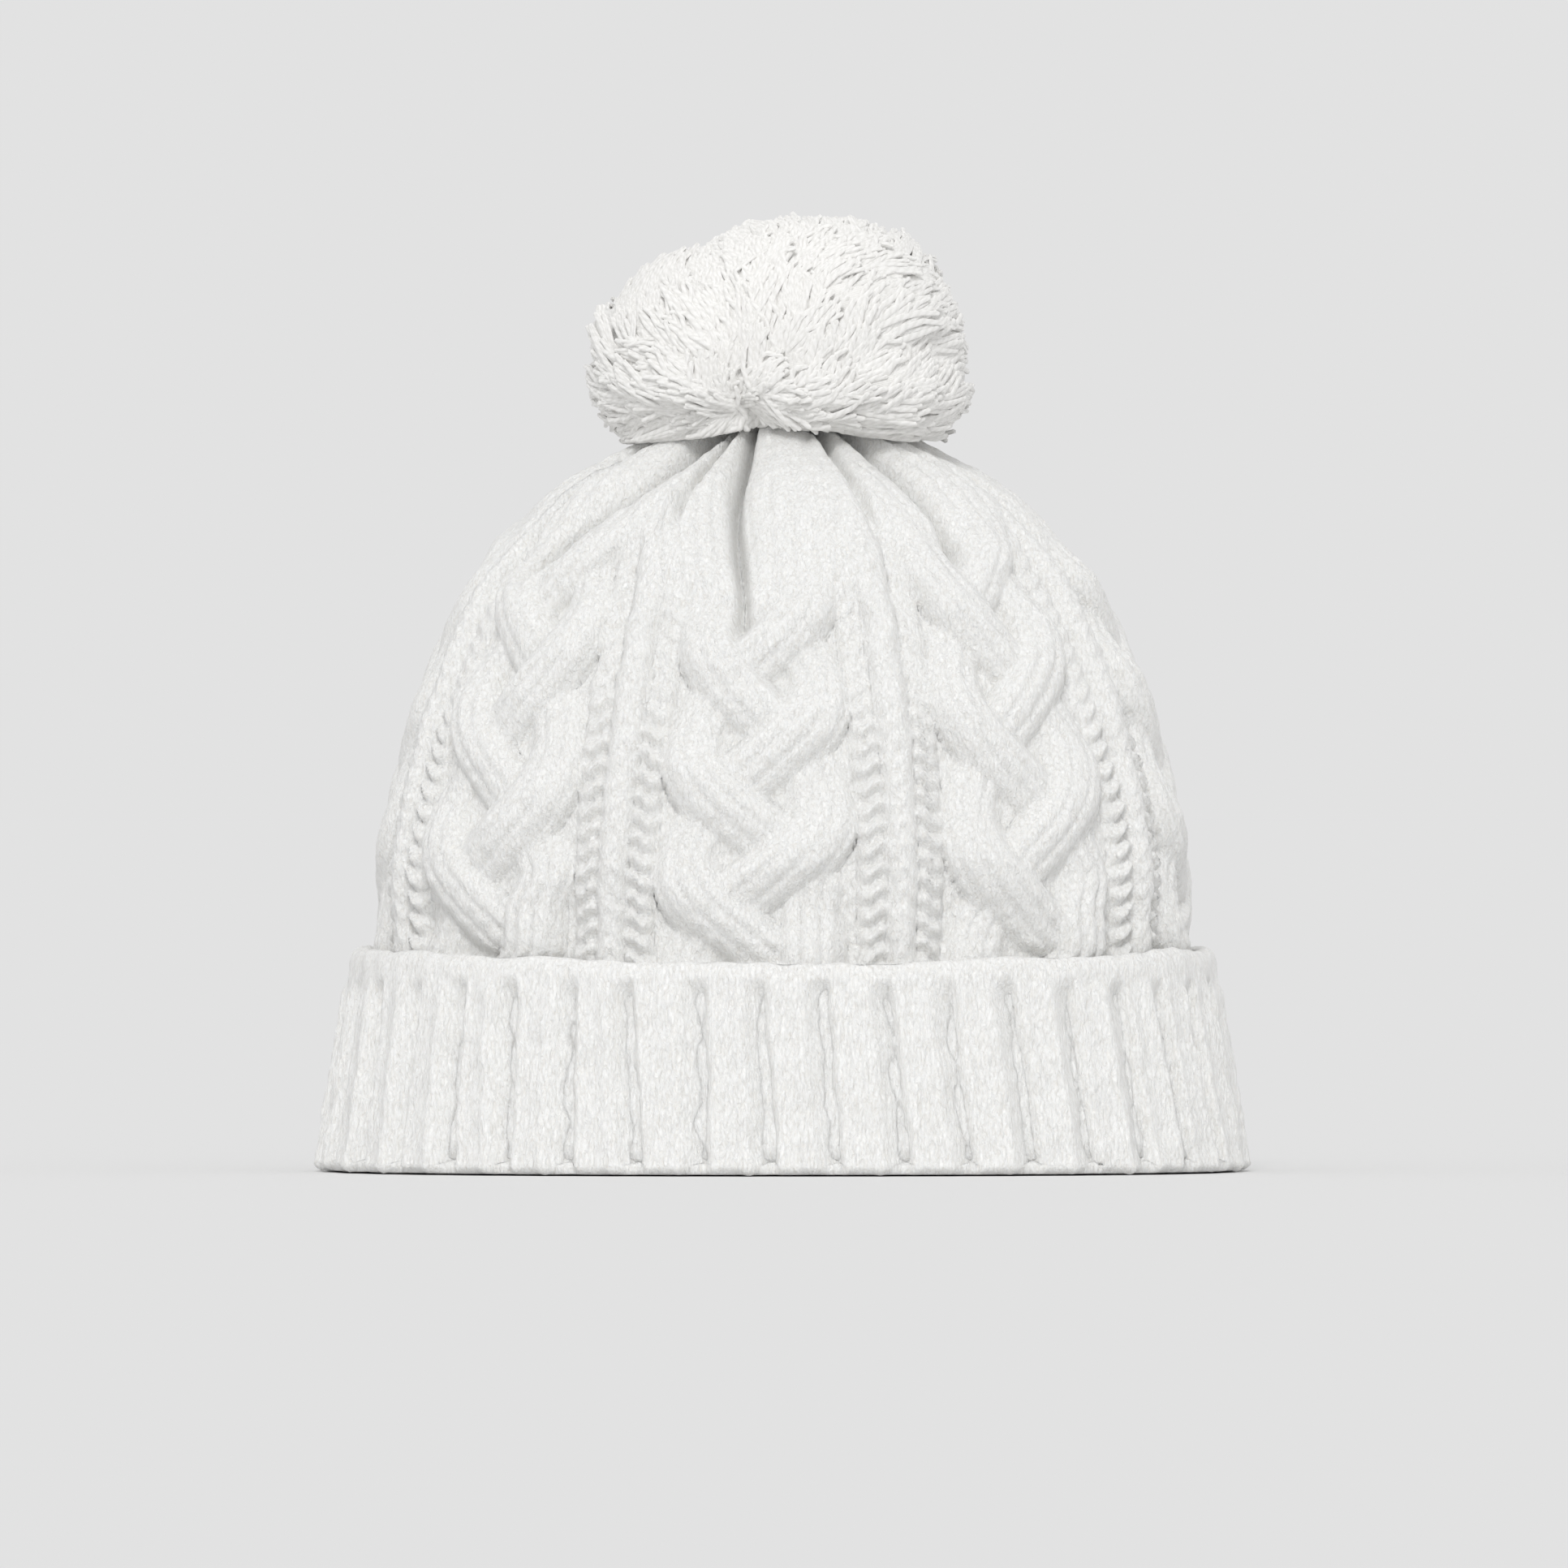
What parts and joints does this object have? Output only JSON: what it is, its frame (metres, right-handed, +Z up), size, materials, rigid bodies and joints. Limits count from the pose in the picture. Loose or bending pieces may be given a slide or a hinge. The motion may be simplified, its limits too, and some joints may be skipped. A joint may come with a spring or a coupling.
{
  "type": "pom pom beanie",
  "caption": "Cable-knit beanie with a gathered crown, a turned-up ribbed cuff and a yarn pompom that rocks and twists on its tie.",
  "frame": {"origin": "middle of the hem's plane, under the head opening, where the hat stands on its turned-up cuff", "axes": "+Z up to the pompom, -Y the front of the hat, +Y the back with the sewn seam, +X the wearer's left"},
  "size_m": [0.2176, 0.1732, 0.2234],
  "materials": {
    "cable_knit": "brushed ivory wool-blend yarn, cable knit",
    "rib_knit": "brushed ivory wool-blend yarn, wide rib",
    "pompom_yarn": "cut ends of soft ivory yarn",
    "seam_yarn": "ivory sewing yarn",
    "tie_yarn": "ivory tie yarn, plied",
    "label_tape": "blank woven satin tape"
  },
  "bodies": {
    "hat": {"crown_cable_knit": "cable_knit", "cuff_outer_layer": "rib_knit", "cuff_inner_layer": "rib_knit", "crown_join_seam": "seam_yarn", "crown_back_seam": "seam_yarn", "cuff_back_seam": "seam_yarn", "cuff_tack_stitch": "seam_yarn", "crown_gather_yarn": "seam_yarn", "care_label": "label_tape"},
    "tie": {"pompom_tie": "tie_yarn", "pompom_anchor_knot": "tie_yarn"},
    "binding": {"pompom_binding": "tie_yarn"},
    "pompom": {"pompom": "pompom_yarn"}
  },
  "joints": [
    {"name": "pompom_twist", "type": "hinge", "parent": "hat", "child": "tie", "pos_m": [0, 0, 0.1735], "axis": [0, 0, 1], "range_deg": [-30, 30], "stiffness_Nm_per_rad": 0.004},
    {"name": "pompom_nod", "type": "hinge", "parent": "tie", "child": "binding", "pos_m": [0, 0, 0.1735], "axis": [1, 0, 0], "range_deg": [-5, 5], "stiffness_Nm_per_rad": 0.05},
    {"name": "pompom_sway", "type": "hinge", "parent": "binding", "child": "pompom", "pos_m": [0, 0, 0.1735], "axis": [0, 1, 0], "range_deg": [-5, 5], "stiffness_Nm_per_rad": 0.05}
  ]
}
